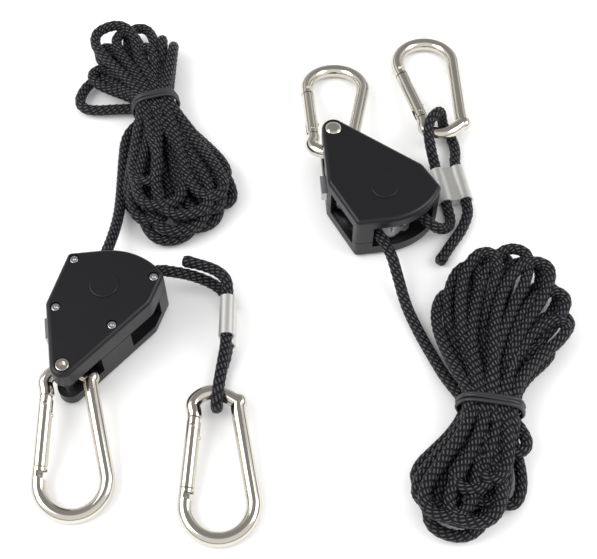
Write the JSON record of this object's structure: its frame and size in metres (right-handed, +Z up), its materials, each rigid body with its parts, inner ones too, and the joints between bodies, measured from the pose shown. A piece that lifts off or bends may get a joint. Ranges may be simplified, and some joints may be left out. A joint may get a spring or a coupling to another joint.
{
  "type": "rope ratchet hanger pair",
  "caption": "Adjustable rope ratchet hangers with a release pawl, snap hooks on the housing and on the rope loop, and a tied hank of spare rope.",
  "frame": {"origin": "on the resting surface, straight below the axle of the right hanger's sheave", "axes": "+Z up, normal to the flat faces of both housings; +Y away from the viewer, roughly along the snap hooks; +X to the right, from the left hanger to the right one"},
  "size_m": [0.1695, 0.1959, 0.0213],
  "materials": {
    "shell": "moulded glass-filled nylon, fine satin texture",
    "screws": "bright zinc plated steel",
    "pin": "bright nickel plated steel",
    "pin_screw": "bright nickel plated socket screw",
    "sheave": "die-cast, tumbled",
    "axle": "turned steel",
    "pawl": "bright plated die-cast metal",
    "spring": "spring steel",
    "rope": "solid braided polypropylene rope",
    "ferrule": "extruded sleeve, satin, pressed on",
    "hook": "bright nickel plated steel wire",
    "gate": "bright nickel plated steel",
    "rivet": "bright nickel plated rivet",
    "band": "black elastic band"
  },
  "bodies": {
    "hangers": {"right_plain_shell": "shell", "right_screw_shell": "shell", "right_housing_screws": "screws", "right_pin_screw": "pin_screw", "right_pin_barrel": "pin", "right_sheave_axle": "axle", "right_pawl_spring": "spring", "right_inner_rope": "rope", "right_load_rope": "rope", "right_ferrule": "ferrule", "right_free_rope": "rope", "right_hank": "rope", "right_hank_band": "band", "left_plain_shell": "shell", "left_screw_shell": "shell", "left_housing_screws": "screws", "left_pin_screw": "pin_screw", "left_pin_barrel": "pin", "left_sheave_axle": "axle", "left_pawl_spring": "spring", "left_inner_rope": "rope", "left_load_rope": "rope", "left_ferrule": "ferrule", "left_free_rope": "rope", "left_hank": "rope", "left_hank_band": "band"},
    "right_sheave_body": {"right_sheave": "sheave"},
    "right_pawl_body": {"right_release_pawl": "pawl"},
    "right_body_hook": {"right_body_hook_frame": "hook", "right_body_hook_gate_rivet": "rivet"},
    "right_body_hook_gate_body": {"right_body_hook_gate": "gate"},
    "right_load_hook": {"right_load_hook_frame": "hook", "right_load_hook_gate_rivet": "rivet"},
    "right_load_hook_gate_body": {"right_load_hook_gate": "gate"},
    "left_sheave_body": {"left_sheave": "sheave"},
    "left_pawl_body": {"left_release_pawl": "pawl"},
    "left_body_hook": {"left_body_hook_frame": "hook", "left_body_hook_gate_rivet": "rivet"},
    "left_body_hook_gate_body": {"left_body_hook_gate": "gate"},
    "left_load_hook": {"left_load_hook_frame": "hook", "left_load_hook_gate_rivet": "rivet"},
    "left_load_hook_gate_body": {"left_load_hook_gate": "gate"}
  },
  "joints": [
    {"name": "right_sheave_turn", "type": "hinge", "parent": "hangers", "child": "right_sheave_body", "pos_m": [0, 0, 0.0107], "axis": [0, 0, 1], "continuous": true},
    {"name": "right_pawl_release", "type": "hinge", "parent": "hangers", "child": "right_pawl_body", "pos_m": [-0.01571, 0.00423, 0.0107], "axis": [0, 0, -1], "range_deg": [0, 14], "stiffness_Nm_per_rad": 0.03, "springref_deg": -20.05},
    {"name": "right_body_hook_swing", "type": "hinge", "parent": "hangers", "child": "right_body_hook", "pos_m": [-0.01636, 0.02443, 0.0119], "axis": [0, 0, 1], "range_deg": [-8, 40]},
    {"name": "right_body_hook_gate_open", "type": "hinge", "parent": "right_body_hook", "child": "right_body_hook_gate_body", "pos_m": [-0.02326, 0.03125, 0.00956], "axis": [-0.0095, -0.209, -0.9779], "range_deg": [0, 24], "stiffness_Nm_per_rad": 0.05, "springref_deg": -17.19},
    {"name": "right_load_hook_swing", "type": "hinge", "parent": "hangers", "child": "right_load_hook", "pos_m": [0.0228, 0.0394, 0.00597], "axis": [0.0145, -0.0936, -0.9955], "range_deg": [-8, 20]},
    {"name": "right_load_hook_gate_open", "type": "hinge", "parent": "right_load_hook", "child": "right_load_hook_gate_body", "pos_m": [0.01506, 0.04227, 0.00559], "axis": [0.0145, -0.0936, -0.9955], "range_deg": [0, 24], "stiffness_Nm_per_rad": 0.05, "springref_deg": -17.19},
    {"name": "left_sheave_turn", "type": "hinge", "parent": "hangers", "child": "left_sheave_body", "pos_m": [-0.08853, -0.03716, 0.0106], "axis": [0, 0, 1], "continuous": true},
    {"name": "left_pawl_release", "type": "hinge", "parent": "hangers", "child": "left_pawl_body", "pos_m": [-0.10282, -0.04492, 0.0106], "axis": [0, 0, 1], "range_deg": [0, 14], "stiffness_Nm_per_rad": 0.03, "springref_deg": -20.05},
    {"name": "left_body_hook_swing", "type": "hinge", "parent": "hangers", "child": "left_body_hook", "pos_m": [-0.09876, -0.06472, 0.0094], "axis": [0, 0, 1], "range_deg": [-30, 18]},
    {"name": "left_body_hook_gate_open", "type": "hinge", "parent": "left_body_hook", "child": "left_body_hook_gate_body", "pos_m": [-0.10518, -0.07203, 0.00788], "axis": [0.0182, -0.1598, 0.987], "range_deg": [0, 24], "stiffness_Nm_per_rad": 0.05, "springref_deg": -17.19},
    {"name": "left_load_hook_swing", "type": "hinge", "parent": "hangers", "child": "left_load_hook", "pos_m": [-0.05315, -0.07385, 0.00597], "axis": [0.0056, -0.0945, 0.9955], "range_deg": [-20, 20]},
    {"name": "left_load_hook_gate_open", "type": "hinge", "parent": "left_load_hook", "child": "left_load_hook_gate_body", "pos_m": [-0.06011, -0.07829, 0.00559], "axis": [0.0056, -0.0945, 0.9955], "range_deg": [0, 24], "stiffness_Nm_per_rad": 0.05, "springref_deg": -17.19}
  ]
}
